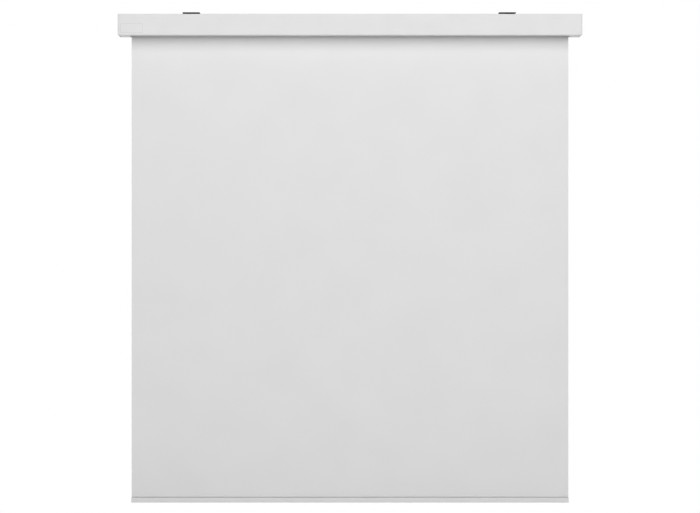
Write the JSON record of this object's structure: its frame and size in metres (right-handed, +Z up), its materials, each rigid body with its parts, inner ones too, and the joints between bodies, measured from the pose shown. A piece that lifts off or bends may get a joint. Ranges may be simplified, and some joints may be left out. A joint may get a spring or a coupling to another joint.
{
  "type": "motorized projector screen",
  "caption": "Ceiling or wall hung motorized projector screen, lowered: extruded case with end caps, motor-driven roller, white fabric and weighted bottom bar.",
  "frame": {"origin": "on the ceiling plane that the two hanging brackets rest on, above the middle of the case", "axes": "+X to the viewer's right along the case, +Y back to the wall, +Z up; the fabric hangs along -Z"},
  "size_m": [1.9, 0.093, 2.0137],
  "materials": {
    "case_paint": "satin",
    "bar_paint": "satin",
    "white_plastic": "satin",
    "screen_cloth": "matte",
    "roller_aluminium": "satin",
    "motor_housing": "satin",
    "zinc_steel": "satin",
    "bracket_paint": "satin",
    "natural_nylon": "satin",
    "grey_plastic": "satin",
    "black_plastic": "satin",
    "circuit_board": "satin",
    "black_rubber": "matte",
    "screw_yellow": "satin",
    "screw_white": "satin"
  },
  "bodies": {
    "case": {"case_profile": "case_paint", "bottom_cover": "case_paint", "end_cap_left": "white_plastic", "end_cap_right": "white_plastic", "motor_side_plate": "zinc_steel", "idle_side_plate": "zinc_steel", "idle_bush": "natural_nylon", "motor_head": "black_plastic", "motor_tube": "motor_housing", "counter_pin": "zinc_steel", "receiver_base": "black_plastic", "receiver_lid": "black_plastic", "receiver_board": "circuit_board", "terminal_block": "grey_plastic", "relay_up": "black_plastic", "relay_down": "black_plastic", "motor_lead": "black_rubber", "lead_clip": "grey_plastic", "cord_grommet": "black_rubber"},
    "roller": {"roller_tube": "roller_aluminium", "motor_shaft": "zinc_steel", "drive_wheel": "grey_plastic", "limit_crown": "natural_nylon", "idle_plug": "grey_plastic", "idle_pin": "zinc_steel", "fabric_edge_rod": "white_plastic", "fabric_turns": "screen_cloth"},
    "lower_bar": {"bottom_bar": "bar_paint", "fabric_batten": "grey_plastic", "weight_bar": "zinc_steel", "bar_plug_left": "white_plastic", "bar_plug_right": "white_plastic", "screen_fabric": "screen_cloth"},
    "counter": {"counter_pinion": "natural_nylon"},
    "up_screw": {"limit_screw_up": "screw_yellow"},
    "down_screw": {"limit_screw_down": "screw_white"},
    "bracket_left": {"hanger_bracket_left": "bracket_paint", "hanger_bolt_left": "zinc_steel", "hanger_washer_left": "zinc_steel", "hanger_nut_left": "zinc_steel"},
    "bracket_right": {"hanger_bracket_right": "bracket_paint", "hanger_bolt_right": "zinc_steel", "hanger_washer_right": "zinc_steel", "hanger_nut_right": "zinc_steel"}
  },
  "joints": [
    {"name": "screen_drop", "type": "slide", "parent": "case", "child": "lower_bar", "axis": [0, 0, 1], "range_m": [0, 1.9175], "deforming": ["screen_fabric"]},
    {"name": "roller_spin", "type": "hinge", "parent": "case", "child": "roller", "pos_m": [0, -0.00955, -0.0482], "axis": [1, 0, 0], "range_deg": [0, 3988]},
    {"name": "counter_spin", "type": "hinge", "parent": "case", "child": "counter", "pos_m": [-0.9186, -0.00955, -0.0632], "axis": [1, 0, 0], "range_deg": [0, 13958]},
    {"name": "limit_screw_up_turn", "type": "hinge", "parent": "case", "child": "up_screw", "pos_m": [-0.9437, -0.0018, -0.03478], "axis": [1, 0, 0], "continuous": true},
    {"name": "limit_screw_down_turn", "type": "hinge", "parent": "case", "child": "down_screw", "pos_m": [-0.9437, -0.0173, -0.03478], "axis": [1, 0, 0], "continuous": true},
    {"name": "bracket_left_slide", "type": "slide", "parent": "case", "child": "bracket_left", "axis": [1, 0, 0], "range_m": [-0.25, 0.505]},
    {"name": "bracket_right_slide", "type": "slide", "parent": "case", "child": "bracket_right", "axis": [1, 0, 0], "range_m": [-0.499, 0.256]}
  ],
  "couplings": [
    {"joint": "roller_spin", "follows": "screen_drop", "rad_per_m": 36.298},
    {"joint": "counter_spin", "follows": "screen_drop", "rad_per_m": 127.04}
  ]
}
